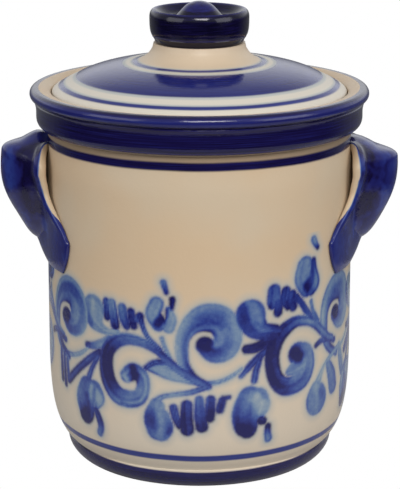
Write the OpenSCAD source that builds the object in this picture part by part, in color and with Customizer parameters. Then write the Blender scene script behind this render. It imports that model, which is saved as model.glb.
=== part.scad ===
// Two-handled stoneware storage pot with a lift-off lid.
// Millimetres. The origin is the centre of the foot on the table, +Z is up,
// the handles stand out along +X and -X, and the decorated front faces -Y.

/* [Pot] */
// Outer radius of the straight wall
wall_r = 95; // [88:1:102]
// Height of the rim above the table
rim_z = 235; // [215:1:255]
// Thickness of the wall
wall_t = 8; // [6:0.5:9]
// Thickness of the floor
floor_t = 8; // [6:0.5:12]
// Widest radius of the foot ring
foot_r = 83.7; // [78:0.1:84]
// Height of the foot ring
foot_h = 13.4; // [10:0.1:16]
// Depth of the hollow under the foot
foot_recess = 4; // [2:0.5:6]

/* [Rim] */
// Distance from the collar's lower edge up to the rim
collar_h = 24; // [20:0.5:28]
// How far the collar stands out from the wall
collar_out = 5.9; // [4:0.1:7]
// How far the rolled lip stands out from the wall
lip_out = 9.8; // [8.5:0.1:11]
// Radius of the lip's roll
lip_roll = 3.6; // [3:0.1:4.2]
// How far the neck draws in under the collar
neck_in = 1; // [0:0.1:2]

/* [Lid seat] */
// How far the seat's wall lies inside the pot's outer wall
seat_in = 3.4; // [2.6:0.1:4]
// Depth of the seat below the rim
seat_depth = 9; // [8:0.5:11]
// Width of the ledge that carries the lid
ledge_w = 5.6; // [4.8:0.1:6.4]
// Radial clearance between the lid and its seat
lid_gap = 0.5; // [0.3:0.1:1.5]
// Clearance under the lid where it rests
rest_gap = 0.3; // [0.1:0.1:0.5]
// Radial clearance between the lid's guide ring and the throat
guide_gap = 1.2; // [0.8:0.1:3]

/* [Lid] */
// Thickness of the lid at its edge
lid_edge_t = 5.3; // [4.5:0.1:6]
// Thickness of the lid's dome
lid_t = 7; // [5:0.5:8]
// Radius of the lid's shoulder
shoulder_r = 75.5; // [70:0.5:80]
// Height of the shoulder above the rim
shoulder_rise = 6.6; // [5:0.1:8]
// Height of the dome's crown above the rim
crown_rise = 14; // [12.5:0.1:15]
// Radius at which the dome turns up to the waist
crown_r = 44; // [40:0.5:48]
// Radius of the waist under the knob
waist_r = 28.2; // [24:0.1:29]
// Height of the knob's underside above the rim
knob_rise = 27; // [24:0.5:30]
// Depth of the guide ring below the lid's edge
guide_h = 9; // [6:0.5:12]
// Thickness of the guide ring
guide_t = 6; // [5:0.5:7]

/* [Knob] */
// Widest radius of the knob
knob_r = 30.7; // [29.6:0.1:33]
// Height of the knob's edge above its underside
knob_h = 20; // [18:0.5:24]
// Depth of the dished top below its edge
dish_depth = 5; // [3:0.5:7]
// Height of the centre point above the knob's edge
point_rise = 5.4; // [3:0.1:7]

/* [Handles] */
// How far a handle's ridge stands out from the wall
handle_reach = 28.8; // [24:0.2:34]
// Length of a handle from its top to its lower end
handle_h = 78.5; // [70:0.5:84]
// Width of the strap
strap_w = 62; // [50:1:68]
// Width of the flared lower end
flare_w = 119; // [100:1:126]
// Thickness of the strap at its ridge
strap_t = 8.3; // [7:0.1:9]
// How far the strap's edges stand out from the wall
edge_out = 9; // [8:0.1:10]
// Height of the rib along the strap's edges
rib_h = 1.4; // [0:0.1:2]

/* [Hidden] */
$fn = 96;

glaze_grey = [0.80, 0.76, 0.69];
cobalt = [0.09, 0.11, 0.33];

// Pieces of one fired pot lie this far apart where they are luted together
lute_gap = 0.1;
// Segments on each curved stretch of an outline
steps = 10;

function curve(a, b, c, d, n = steps) = [
    for (i = [0:n])
        let (t = i / n, u = 1 - t)
        u * u * u * a + 3 * u * u * t * b + 3 * u * t * t * c + t * t * t * d
];
function arc(centre, r, from, to, n = steps) = [
    for (i = [0:n])
        let (angle = from + (to - from) * i / n)
        centre + r * [cos(angle), sin(angle)]
];
function mix(a, b, t) = a + (b - a) * t;
function clamp01(t) = max(0, min(1, t));
function ease(t) = clamp01(t) * clamp01(t) * (3 - 2 * clamp01(t));

// Heights and radii that the rim, the seat and the lid share
collar_z = rim_z - collar_h;
neck_z = collar_z - 7;
neck_start_z = neck_z - 20;
neck_r = wall_r - neck_in;
seat_r = wall_r - seat_in;
seat_z = rim_z - seat_depth;
throat_r = seat_r - ledge_w;
inner_r = wall_r - wall_t;

// The pot's outline from the foot's inner edge round to the floor's centre. The floor's curve
// follows the foot, so the wall keeps its thickness there when the wall's radius changes.
foot_face_r = foot_r - 9.4;
recess_r = foot_face_r - 8;
limb_z = 75;
collar_r = wall_r + collar_out;
lip_centre = [wall_r + lip_out - lip_roll, rim_z - lip_roll];
floor_z = foot_recess + floor_t;

foot_outline = concat(
    [[0, foot_recess], [recess_r - 3, foot_recess], [recess_r, 0], [foot_face_r, 0]],
    curve([foot_face_r + 1, 0.4], [foot_r - 4.2, 2.6], [foot_r - 0.6, 6.5], [foot_r, foot_h - 1.8]),
    [[foot_r - 0.1, foot_h - 0.4], [foot_r - 0.6, foot_h]]
);
wall_outline = concat(
    curve([foot_r - 0.4, foot_h + 0.6], [wall_r - 2.5, 24], [wall_r, 40], [wall_r, limb_z]),
    curve([wall_r, neck_start_z], [wall_r, neck_start_z + 8], [neck_r, neck_z - 7], [neck_r, neck_z])
);
collar_outline = concat(
    curve([neck_r, collar_z - 1.2], [neck_r + 3.8, collar_z - 0.4], [collar_r, collar_z + 1.6],
        [collar_r, collar_z + 6]),
    curve([collar_r, collar_z + 10], [collar_r + 0.1, collar_z + 12], [collar_r + 0.5, collar_z + 14],
        [collar_r + 1.1, collar_z + 15.4]),
    [[collar_r + 0.7, collar_z + 16]],
    arc(lip_centre, lip_roll, -58, 90, 16)
);
seat_outline = concat(
    curve([seat_r + 6.4, rim_z - 0.1], [seat_r + 3, rim_z - 0.6], [seat_r + 0.1, rim_z - 1.6],
        [seat_r, rim_z - 3.6]),
    [[seat_r, seat_z], [throat_r + 1, seat_z], [throat_r, seat_z - 1]],
    curve([throat_r, seat_z - 14], [throat_r, seat_z - 20], [inner_r, seat_z - 24],
        [inner_r, seat_z - 30], 6)
);
inside_outline = concat(
    curve([inner_r, 50], [inner_r, floor_z + 12], [foot_r - 4.7, floor_z], [foot_r - 26.7, floor_z]),
    [[0, floor_z]]
);

// The lid's outline from the middle of its underside out to its edge and up to the waist
lid_r = seat_r - lid_gap;
lid_low_z = seat_z + rest_gap;
lid_edge_z = lid_low_z + lid_edge_t;
guide_r = throat_r - guide_gap;
guide_z = lid_low_z - guide_h;
guide_inner_r = guide_r - guide_t;
knob_z = rim_z + knob_rise;
shoulder = [shoulder_r, rim_z + shoulder_rise];
crown = [crown_r, rim_z + crown_rise];
// Where the lid's rounded edge runs out into its dome
eave = [lid_r - 5.8, rim_z + 1.7];
hollow_r = waist_r - 9;
hollow_z = knob_z - 8;

lid_under_outline = concat(
    [[0, hollow_z]],
    curve([hollow_r - 6, hollow_z], [hollow_r - 1, hollow_z], [hollow_r - 1, hollow_z - 3],
        [hollow_r, crown[1] - 1]),
    curve([hollow_r + 2, crown[1] - lid_t + 1], [hollow_r + 16, crown[1] - lid_t - 1.5],
        [shoulder_r - 20, shoulder[1] - lid_t - 0.5], [guide_inner_r - 4, lid_low_z + 2.6]),
    [[guide_inner_r, lid_low_z - 0.4], [guide_inner_r + 0.4, guide_z + 1.5]],
    arc([guide_inner_r + 2, guide_z + 1.5], 1.5, 180, 270, 4),
    arc([guide_r - 1.5, guide_z + 1.5], 1.5, 270, 360, 4),
    [[guide_r, lid_low_z - 0.6], [guide_r + 0.6, lid_low_z]]
);
lid_top_outline = concat(
    arc([lid_r - 1, lid_low_z + 1], 1, 270, 360, 3),
    curve([lid_r, lid_edge_z], [lid_r, lid_edge_z + 2], [lid_r - 2.4, rim_z - 0.2], eave),
    curve(eave, [eave[0] - 2.6, eave[1] + 1.3], [shoulder_r + 4.2, shoulder[1] - 2.2], shoulder),
    curve(shoulder, [shoulder_r - 7.5, shoulder[1] + 4], [crown_r + 12, crown[1] + 0.4], crown),
    curve(crown, [crown_r - 5.5, crown[1] - 1.4], [waist_r + 3.3, crown[1] - 0.4],
        [waist_r + 0.7, crown[1] + 9.2]),
    [[waist_r, knob_z], [0, knob_z]]
);

// The knob's outline from its underside up its side and over the dished top
knob_edge_z = knob_z + knob_h;
dish_z = knob_edge_z - dish_depth;
groove_z = knob_z + 6.7;
knob_outline = concat(
    [[0, knob_z], [waist_r - 1.4, knob_z]],
    curve([waist_r - 1.2, knob_z + 0.4], [waist_r - 0.6, knob_z + 2], [waist_r + 0.4, knob_z + 4],
        [waist_r + 0.8, groove_z - 0.6], 6),
    [[waist_r + 0.6, groove_z]],
    curve([waist_r + 1.1, groove_z + 0.5], [knob_r - 0.6, groove_z + 2.2], [knob_r, groove_z + 4],
        [knob_r, knob_edge_z - 5]),
    curve([knob_r, knob_edge_z - 3.6], [knob_r - 0.2, knob_edge_z - 1.4],
        [knob_r - 0.9, knob_edge_z - 0.2], [knob_r - 2, knob_edge_z + 0.5], 8),
    curve([knob_r - 2.8, knob_edge_z + 0.4], [knob_r - 5.5, knob_edge_z - 1],
        [knob_r - 7, dish_z], [knob_r - 11.6, dish_z]),
    curve([knob_r - 12.6, dish_z + 0.1], [12.5, dish_z + 1], [9.5, knob_edge_z + point_rise - 0.2],
        [0, knob_edge_z + point_rise])
);

// A handle is a strap pulled off the wall. Its sections are placed by a path parameter u:
// 0 at the top joint, 1 at the knuckle, 2 where the ridge comes back to the wall, 3 at the low end.
// Points are [stand-off from the wall, height].
handle_top_z = collar_z - 5;
handle_low_z = handle_top_z - handle_h;
knuckle_z = handle_top_z - 20;
return_z = handle_low_z + 8.5;
// Where the top of the strap dips before it rounds over the knuckle
saddle = [handle_reach - 9, handle_top_z - 8.2];
strap_half = strap_w / 2;
flare_half = flare_w / 2;
arch_half = strap_half - 2;
edge_t = 5.5;

function at(a, b, c, d, t) =
    let (v = 1 - t)
    v * v * v * a + 3 * v * v * t * b + 3 * v * t * t * c + t * t * t * d;

function ridge_out(u) =
    u < 0.5 ? at([0, handle_top_z], [8, handle_top_z], [12, saddle[1] + 0.6], saddle, 2 * u)
    : u < 1 ? at(saddle, [saddle[0] + 5, saddle[1] - 1], [handle_reach, knuckle_z + 8],
        [handle_reach, knuckle_z], 2 * u - 1)
    : u < 2 ? at([handle_reach, knuckle_z], [handle_reach, knuckle_z - 16], [19, return_z + 11],
        [7, return_z], u - 1)
    : at([7, return_z], [5.4, return_z - 3], [4, handle_low_z + 2], [1, handle_low_z], u - 2);
function edge_path_out(u) =
    u < 1 ? at([0, handle_top_z - 0.5], [edge_out, handle_top_z + 10], [edge_out + 11, knuckle_z + 18],
        [edge_out + 0.2, knuckle_z - 0.5], u)
    : u < 2 ? at([edge_out + 0.2, knuckle_z - 0.5], [edge_out - 1.8, knuckle_z - 8],
        [3, return_z + 27], [2.6, return_z + 14], u - 1)
    : at([2.6, return_z + 14], [2.5, return_z + 8], [2.4, handle_low_z + 4], [1, handle_low_z], u - 2);
function ridge_in(u) =
    let (inner = handle_reach - strap_t)
    u < 1 ? at([0, handle_top_z - strap_t], [inner - 9, handle_top_z - strap_t - 1],
        [inner, knuckle_z + 7], [inner, knuckle_z - 2], u)
    : u < 2 ? at([inner, knuckle_z - 2], [inner, knuckle_z - 15], [12, return_z + 20],
        [0, return_z + 10], u - 1)
    : [0, mix(return_z + 10, handle_low_z, u - 2)];
function edge_path_in(u) =
    let (inner = edge_out - edge_t)
    u < 1 ? at([0, handle_top_z - 6], [inner + 0.6, handle_top_z + 9], [inner + 7, knuckle_z + 17],
        [inner + 0.2, knuckle_z - 2], u)
    : u < 2 ? at([inner + 0.2, knuckle_z - 2], [inner - 1.2, knuckle_z - 10], [0.3, return_z + 30],
        [0, return_z + 14], u - 1)
    : [0, mix(return_z + 14, handle_low_z, u - 2)];

// Half the width of the strap at u
function half_width(u) =
    u < 2.15 ? mix(strap_half, flare_half, ease((u - 1.35) / 0.8)) - 4 * (1 - ease(u / 0.8))
    : flare_half - 8 * pow((u - 2.15) / 0.85, 2);
// Outer radius of the pot's wall at height z
function wall_at(z) = wall_r - neck_in * ease((z - neck_start_z) / (neck_z - neck_start_z));
// Point of a handle, from its stand-off and height and its distance round the wall
function on_wall(p, across) =
    let (r = wall_at(p[1]) + max(p[0], lute_gap), angle = across / wall_r * 180 / PI)
    [r * cos(angle), r * sin(angle), p[1]];

across_steps = 24;
round_steps = 4;
path_steps = 36;
// The rib along the edge and how it fades into the joints
function rib(u, across, half) =
    rib_h * ease(u / 0.6) * (1 - ease((u - 1.5) / 0.5)) * exp(-pow((half - 3.2 - abs(across)) / 2.4, 2));
function outer_point(u, s) =
    let (half = half_width(u), across = half * s, f = ease(abs(across) / arch_half))
    on_wall(mix(ridge_out(u), edge_path_out(u), f) + [rib(u, across, half), 0], across);
function inner_point(u, s) =
    let (half = half_width(u) - 0.8, across = half * s, f = ease(abs(across) / (arch_half - 3)))
    on_wall(mix(ridge_in(u), edge_path_in(u), f), across);
// The rounded edge between the outer and the inner face, on the side given by s = 1 or -1
function edge_point(u, s, k) =
    let (turn = 180 * k / round_steps, bulge = 2 * sin(turn) * ease(u / 0.1))
    let (out = mix(edge_path_out(u), edge_path_in(u), (1 - cos(turn)) / 2))
    on_wall(out, s * (half_width(u) + bulge * (1 - 0.7 * ease(u - 1.6))));

function section(u) = concat(
    [for (i = [0:across_steps]) outer_point(u, 2 * i / across_steps - 1)],
    [for (k = [1:round_steps - 1]) edge_point(u, 1, k)],
    [for (i = [0:across_steps]) inner_point(u, 1 - 2 * i / across_steps)],
    [for (k = [1:round_steps - 1]) edge_point(u, -1, round_steps - k)]
);
ring = 2 * (across_steps + 1) + 2 * (round_steps - 1);

// Triangles that close a section, as strips between its outer and inner face
function opposite(j) = (2 * ring - round_steps - j) % ring;
function cap(first, flip) = [
    for (i = [0:ring / 2 - 1])
        let (a = (i + ring - round_steps / 2) % ring, b = (a + 1) % ring)
        for (t = [[a, b, opposite(b)], [a, opposite(b), opposite(a)]])
            if (t[0] != t[1] && t[1] != t[2] && t[0] != t[2])
                flip ? [first + t[2], first + t[1], first + t[0]] : [for (j = t) first + j]
];

module strap_handle() {
    points = [for (k = [0:path_steps]) each section(3 * k / path_steps)];
    sides = [
        for (k = [0:path_steps - 1], i = [0:ring - 1])
            let (j = (i + 1) % ring, low = k * ring, high = low + ring)
            each [[low + i, low + j, high + j], [low + i, high + j, high + i]]
    ];
    polyhedron(points, concat(cap(0, true), sides, cap(path_steps * ring, false)));
}

module turned(outline) {
    rotate_extrude() polygon(outline);
}

module pot_body() {
    color(glaze_grey)
        turned(concat(foot_outline, wall_outline, collar_outline, seat_outline, inside_outline));
}

module handle_right() {
    color(cobalt) strap_handle();
}

module handle_left() {
    color(cobalt) mirror([1, 0, 0]) strap_handle();
}

module lid() {
    color(glaze_grey) turned(concat(lid_under_outline, lid_top_outline));
}

module lid_knob() {
    color(cobalt) turned(knob_outline);
}

pot_body();
handle_left();
handle_right();
lid();
lid_knob();
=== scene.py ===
import math

import bpy
import numpy as np
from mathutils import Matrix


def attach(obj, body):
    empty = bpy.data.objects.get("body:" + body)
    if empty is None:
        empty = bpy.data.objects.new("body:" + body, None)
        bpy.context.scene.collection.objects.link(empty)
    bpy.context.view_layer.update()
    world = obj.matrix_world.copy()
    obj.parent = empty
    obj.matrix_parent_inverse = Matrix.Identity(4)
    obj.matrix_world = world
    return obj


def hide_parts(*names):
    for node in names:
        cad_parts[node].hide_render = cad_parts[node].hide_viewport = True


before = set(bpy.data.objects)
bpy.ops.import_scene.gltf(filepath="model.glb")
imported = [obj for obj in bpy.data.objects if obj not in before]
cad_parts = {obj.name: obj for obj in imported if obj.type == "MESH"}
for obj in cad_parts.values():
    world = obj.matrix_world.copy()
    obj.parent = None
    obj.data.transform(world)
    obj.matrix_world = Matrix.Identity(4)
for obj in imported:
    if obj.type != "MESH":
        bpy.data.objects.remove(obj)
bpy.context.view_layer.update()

MM = 0.001
rng = np.random.default_rng(7)

# Sizes in millimetres, as in the solid model
WALL_R = 95.0
RIM_Z = 235.0
FOOT_R = 83.7
FOOT_H = 13.4
FOOT_RECESS = 4.0
COLLAR_Z = 211.0
COLLAR_R = 100.9
LIP_ROLL = 3.6
LIP_CENTRE = (101.2, 231.4)
NECK_R = 94.0
NECK_Z = 204.0
SEAT_R = 91.6
SEAT_Z = 226.0
THROAT_R = 86.0
INNER_R = 87.0
FLOOR_Z = 12.0
LID_R = 91.1
LID_LOW_Z = 226.3
LID_EDGE_Z = 231.6
GUIDE_R = 84.8
GUIDE_Z = 217.3
GUIDE_INNER_R = 78.8
SHOULDER = (75.5, 241.6)
CROWN = (44.0, 249.7)
EAVE = (85.3, 236.7)
WAIST_R = 28.2
KNOB_Z = 262.0
KNOB_R = 30.7
KNOB_EDGE_Z = 282.0
DISH_Z = 277.0
GROOVE_Z = 266.3
POINT_RISE = 5.4
GIRTH = 2 * math.pi * WALL_R


# Camera at the photograph's distance and tilt
def add_camera():
    data = bpy.data.cameras.new("camera")
    camera = bpy.data.objects.new("camera", data)
    bpy.context.scene.collection.objects.link(camera)
    camera.location = (0.0004, -1.35, 0.48)
    camera.rotation_euler = (math.radians(75.60), 0, 0)
    data.sensor_fit = "HORIZONTAL"
    data.sensor_width = 36.0
    data.lens = 199.35
    data.clip_start = 0.01
    bpy.context.scene.camera = camera


# Outlines as rows of points [radius, height]
def curve(a, b, c, d, n=10):
    t = np.linspace(0, 1, n + 1)[:, None]
    u = 1 - t
    a, b, c, d = (np.array(p, float) for p in (a, b, c, d))
    return u**3 * a + 3 * u * u * t * b + 3 * u * t * t * c + t**3 * d


def arc(centre, r, start, end, n=10):
    turn = np.radians(np.linspace(start, end, n + 1))
    return np.array(centre, float) + r * np.stack([np.cos(turn), np.sin(turn)], 1)


def line(*points):
    return np.array(points, float)


def between(a, b, n):
    return np.linspace(np.array(a, float), np.array(b, float), n + 1)


def join(*parts):
    """One outline from its parts, with points that lie on each other taken once."""
    rows = np.concatenate(parts)
    keep = [0]
    for i in range(1, len(rows)):
        if np.hypot(*(rows[i] - rows[keep[-1]])) > 0.02:
            keep.append(i)
    return rows[keep]


def foot_outline():
    face = FOOT_R - 9.4
    return join(
        line((0, FOOT_RECESS), (face - 11, FOOT_RECESS), (face - 8, 0), (face, 0)),
        curve((face + 1, 0.4), (FOOT_R - 4.2, 2.6), (FOOT_R - 0.6, 6.5), (FOOT_R, FOOT_H - 1.8)),
        line((FOOT_R - 0.1, FOOT_H - 0.4), (FOOT_R - 0.6, FOOT_H)),
    )


def wall_radius(z):
    """Radius of the wall at heights z, above the foot and below the neck."""
    low = curve((FOOT_R - 0.4, FOOT_H + 0.6), (WALL_R - 2.5, 24), (WALL_R, 40), (WALL_R, 75), 60)
    high = curve((WALL_R, NECK_Z - 20), (WALL_R, NECK_Z - 12), (NECK_R, NECK_Z - 7), (NECK_R, NECK_Z), 30)
    both = np.concatenate([low, high])
    return np.interp(z, both[:, 1], both[:, 0])


def wall_outline(z_from, z_to, step):
    z = np.linspace(z_from, z_to, max(2, int(round((z_to - z_from) / step)) + 1))
    return np.stack([wall_radius(z), z], 1)


def collar_outline():
    r = COLLAR_R
    z = COLLAR_Z
    return join(
        curve((NECK_R, z - 1.2), (NECK_R + 3.8, z - 0.4), (r, z + 1.6), (r, z + 6), 12),
        curve((r, z + 10), (r + 0.1, z + 12), (r + 0.5, z + 14), (r + 1.1, z + 15.4), 8),
        line((r + 0.7, z + 16)),
        arc(LIP_CENTRE, LIP_ROLL, -58, 90, 20),
    )


def seat_outline():
    return join(
        curve((SEAT_R + 6.4, RIM_Z - 0.1), (SEAT_R + 3, RIM_Z - 0.6), (SEAT_R + 0.1, RIM_Z - 1.6),
              (SEAT_R, RIM_Z - 3.6), 12),
        line((SEAT_R, SEAT_Z), (THROAT_R + 1, SEAT_Z), (THROAT_R, SEAT_Z - 1)),
        curve((THROAT_R, SEAT_Z - 14), (THROAT_R, SEAT_Z - 20), (INNER_R, SEAT_Z - 24),
              (INNER_R, SEAT_Z - 30), 6),
    )


def inside_outline():
    return join(
        between((INNER_R, SEAT_Z - 40), (INNER_R, 60), 6),
        curve((INNER_R, 50), (INNER_R, FLOOR_Z + 12), (INNER_R - 8, FLOOR_Z), (INNER_R - 30, FLOOR_Z)),
        line((0, FLOOR_Z)),
    )


def lid_outline():
    """From the middle of the underside round the edge and up to the waist."""
    hollow_r = WAIST_R - 9
    hollow_z = KNOB_Z - 8
    low = LID_LOW_Z
    edge = LID_EDGE_Z
    inner = GUIDE_INNER_R
    return join(
        line((0, hollow_z)),
        curve((hollow_r - 6, hollow_z), (hollow_r - 1, hollow_z), (hollow_r - 1, hollow_z - 3),
              (hollow_r, CROWN[1] - 1)),
        curve((hollow_r + 2, CROWN[1] - 6), (hollow_r + 16, CROWN[1] - 8.5),
              (SHOULDER[0] - 20, SHOULDER[1] - 7.5), (inner - 4, low + 2.6), 16),
        line((inner, low - 0.4), (inner + 0.4, GUIDE_Z + 1.5)),
        arc((inner + 2, GUIDE_Z + 1.5), 1.5, 180, 270, 6),
        arc((GUIDE_R - 1.5, GUIDE_Z + 1.5), 1.5, 270, 360, 6),
        line((GUIDE_R, low - 0.6), (GUIDE_R + 0.6, low)),
        arc((LID_R - 1, low + 1), 1, 270, 360, 5),
        curve((LID_R, edge), (LID_R, edge + 2), (LID_R - 2.4, RIM_Z - 0.2), EAVE, 12),
        curve(EAVE, (EAVE[0] - 2.6, EAVE[1] + 1.3), (SHOULDER[0] + 4.2, SHOULDER[1] - 2.2), SHOULDER, 10),
        curve(SHOULDER, (SHOULDER[0] - 7.5, SHOULDER[1] + 4), (CROWN[0] + 10.5, CROWN[1] - 1.2), CROWN, 18),
        curve(CROWN, (CROWN[0] - 4.5, CROWN[1] + 0.5), (WAIST_R + 4.5, CROWN[1] + 1.6),
              (WAIST_R + 0.7, CROWN[1] + 9.2), 18),
        line((WAIST_R, KNOB_Z), (0, KNOB_Z)),
    )


def knob_outline():
    r = KNOB_R
    top = KNOB_EDGE_Z
    waist = WAIST_R
    return join(
        line((0, KNOB_Z), (waist - 1.4, KNOB_Z)),
        curve((waist - 1.2, KNOB_Z + 0.4), (waist - 0.6, KNOB_Z + 2), (waist + 0.4, KNOB_Z + 4),
              (waist + 0.7, GROOVE_Z - 0.4), 8),
        line((waist + 0.6, GROOVE_Z)),
        curve((waist + 1.1, GROOVE_Z + 0.5), (r - 0.6, GROOVE_Z + 2.2), (r, GROOVE_Z + 4), (r, top - 5), 12),
        curve((r, top - 3.6), (r - 0.2, top - 1.4), (r - 0.9, top - 0.2), (r - 2, top + 0.5), 10),
        curve((r - 2.8, top + 0.4), (r - 5.5, top - 1), (r - 7, DISH_Z), (r - 11.6, DISH_Z), 12),
        curve((r - 12.2, DISH_Z + 0.1), (12.5, DISH_Z + 1.2), (10.5, top + POINT_RISE - 2.6),
              (5.5, top + POINT_RISE - 1.1), 12),
        curve((4.6, top + POINT_RISE - 0.8), (3.2, top + POINT_RISE - 0.3), (1.6, top + POINT_RISE),
              (0, top + POINT_RISE), 6),
    )


# Turned meshes: each row of the outline is a ring with its own number of points
def mesh_object(name, verts, faces, uvs=None):
    mesh = bpy.data.meshes.new(name)
    mesh.from_pydata([tuple(v) for v in verts], [], faces)
    if uvs is not None:
        layer = mesh.uv_layers.new(name="OFBake")
        layer.data.foreach_set("uv", np.array(uvs, np.float32).ravel())
    mesh.shade_smooth()
    mesh.set_sharp_from_angle(angle=math.radians(38))
    mesh.update()
    obj = bpy.data.objects.new(name, mesh)
    bpy.context.scene.collection.objects.link(obj)
    return obj


def turned(name, outline, columns, place=None):
    """A closed turned mesh. columns is a number, or one for each row; place(row, turn) gives the map position."""
    rows = len(outline)
    counts = [columns] * rows if isinstance(columns, int) else list(columns)
    verts = []
    first = []
    for (r, z), n in zip(outline, counts):
        first.append(len(verts))
        if r < 1e-6:
            verts.append((0, 0, z * MM))
            continue
        turn = 2 * math.pi * np.arange(n) / n - math.pi / 2
        verts.extend(np.stack([r * np.cos(turn), r * np.sin(turn), np.full(n, z)], 1) * MM)
    faces = []
    corners = []
    for i in range(rows - 1):
        low_pole = outline[i][0] < 1e-6
        high_pole = outline[i + 1][0] < 1e-6
        n = counts[i + 1] if low_pole else counts[i]
        m = counts[i] if high_pole else counts[i + 1]
        cells = min(n, m)
        for j in range(cells):
            a, b = j / cells, (j + 1) / cells
            low = [(i, k / n) for k in range(round(a * n), round(b * n) + 1)]
            high = [(i + 1, k / m) for k in range(round(b * m), round(a * m) - 1, -1)]
            if low_pole:
                low = [(i, (a + b) / 2)]
            if high_pole:
                high = [(i + 1, (a + b) / 2)]
            ring = low + high
            faces.append([
                first[row] if outline[row][0] < 1e-6 else first[row] + round(t * counts[row]) % counts[row]
                for row, t in ring
            ])
            if place:
                corners.extend(place(i, row, t, a) for row, t in ring)
    return mesh_object(name, verts, faces, corners if place else None)


# Brushwork. Every stroke is a path of (distance round the wall, height, width, depth of colour) in
# millimetres, with 0 straight in front. The wall's points keep the distance to the nearest
# stroke's edge and how deep the blue is there.
def wrapped(s):
    return (s + GIRTH / 2) % GIRTH - GIRTH / 2


def ease(t):
    t = np.clip(t, 0, 1)
    return t * t * (3 - 2 * t)


def noise_1d(x, seed):
    """Smooth noise from 0 to 1 along x."""
    cells = np.floor(x).astype(int)
    table = np.random.default_rng(seed).random(257)
    t = ease(x - cells)
    return table[cells % 256] * (1 - t) + table[(cells + 1) % 256] * t


def smooth_path(points, n=7):
    """A curve through the points, with widths and depths carried along."""
    p = np.array(points, float)
    if len(p) == 2:
        return np.linspace(p[0], p[1], n + 1)
    ends = np.concatenate([[2 * p[0] - p[1]], p, [2 * p[-1] - p[-2]]])
    t = np.arange(n)[:, None] / n
    out = []
    for a, b, c, d in zip(ends, ends[1:], ends[2:], ends[3:]):
        out.append(0.5 * (2 * b + (c - a) * t + (2 * a - 5 * b + 4 * c - d) * t**2
                          + (3 * b - a - 3 * c + d) * t**3))
    return np.concatenate(out + [p[-1:]])


class Brushwork:
    def __init__(self, s, z):
        self.s = s
        self.z = z
        self.edge = np.full(len(s), 30.0)
        self.depth = np.full(len(s), 0.5)
        self.count = 0

    def near(self, path, reach):
        """Which points lie near a path, and where they are from its middle."""
        middle = path[:, 0].mean()
        ds = wrapped(self.s - middle)
        box = np.abs(ds) < (np.ptp(path[:, 0]) / 2 + reach)
        box &= (self.z > path[:, 1].min() - reach) & (self.z < path[:, 1].max() + reach)
        return np.nonzero(box)[0], ds, middle

    def measure(self, points, margin):
        """Distance outside the stroke, place along it and place across it from -1 to 1."""
        path = smooth_path(points)
        half = path[:, 2] / 2
        index, ds, middle = self.near(path, half.max() + margin)
        q = np.stack([ds[index], self.z[index]], 1)
        a = path[:-1, :2] - [middle, 0]
        b = path[1:, :2] - [middle, 0]
        ab = b - a
        length = np.maximum((ab**2).sum(1), 1e-9)
        t = np.clip(((q[:, None] - a) * ab).sum(2) / length, 0, 1)
        away = q[:, None] - (a + t[..., None] * ab)
        d = np.hypot(away[..., 0], away[..., 1]) - (half[:-1] + t * np.diff(half))
        best = d.argmin(1)
        pick = np.arange(len(q))
        t = t[pick, best]
        width = half[best] + t * np.diff(half)[best]
        cross = ab[best, 0] * away[pick, best, 1] - ab[best, 1] * away[pick, best, 0]
        side = -cross / np.sqrt(length[best]) / width
        run = np.concatenate([[0], np.cumsum(np.sqrt(length))])
        along = run[best] + t * np.sqrt(length[best])
        depth = path[best, 3] + t * (path[best + 1, 3] - path[best, 3])
        return index, d[pick, best], along, side, depth

    def stroke(self, points, side=0.0, streaks=0.13, rim=0.06):
        """Paints a stroke. side > 0 makes its right side deeper, seen along the path."""
        self.count += 1
        index, d, along, across, depth = self.measure(points, 7)
        streak = noise_1d(across * 2.6 + 40 + along * 0.02, self.count) - 0.5
        pool = noise_1d(along / 9 + 3, self.count + 500) - 0.5
        depth = depth + side * across + 2 * streaks * streak + 0.12 * pool
        depth = depth + rim * np.exp(-((d + 0.6) / 0.9) ** 2)
        old = self.edge[index]
        inside = ease((0.8 - d) / 1.6)
        nearer = ease((old - d + 0.5) / 1.0) * ease(old / 0.8)
        share = np.maximum(inside, nearer)
        self.depth[index] = self.depth[index] * (1 - share) + depth * share
        self.edge[index] = np.minimum(old, d)

    def tint(self, points, soft=2.0, strength=1.0):
        """Deepens or thins the colour along a path without changing any edge."""
        index, d, along, across, depth = self.measure(points, 3 * soft)
        share = strength * ease(0.5 - d / (2 * soft))
        self.depth[index] = self.depth[index] * (1 - share) + depth * share


def moved(points, ds, dz):
    return [(s + ds, z + dz, w, v) for s, z, w, v in points]


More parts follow.
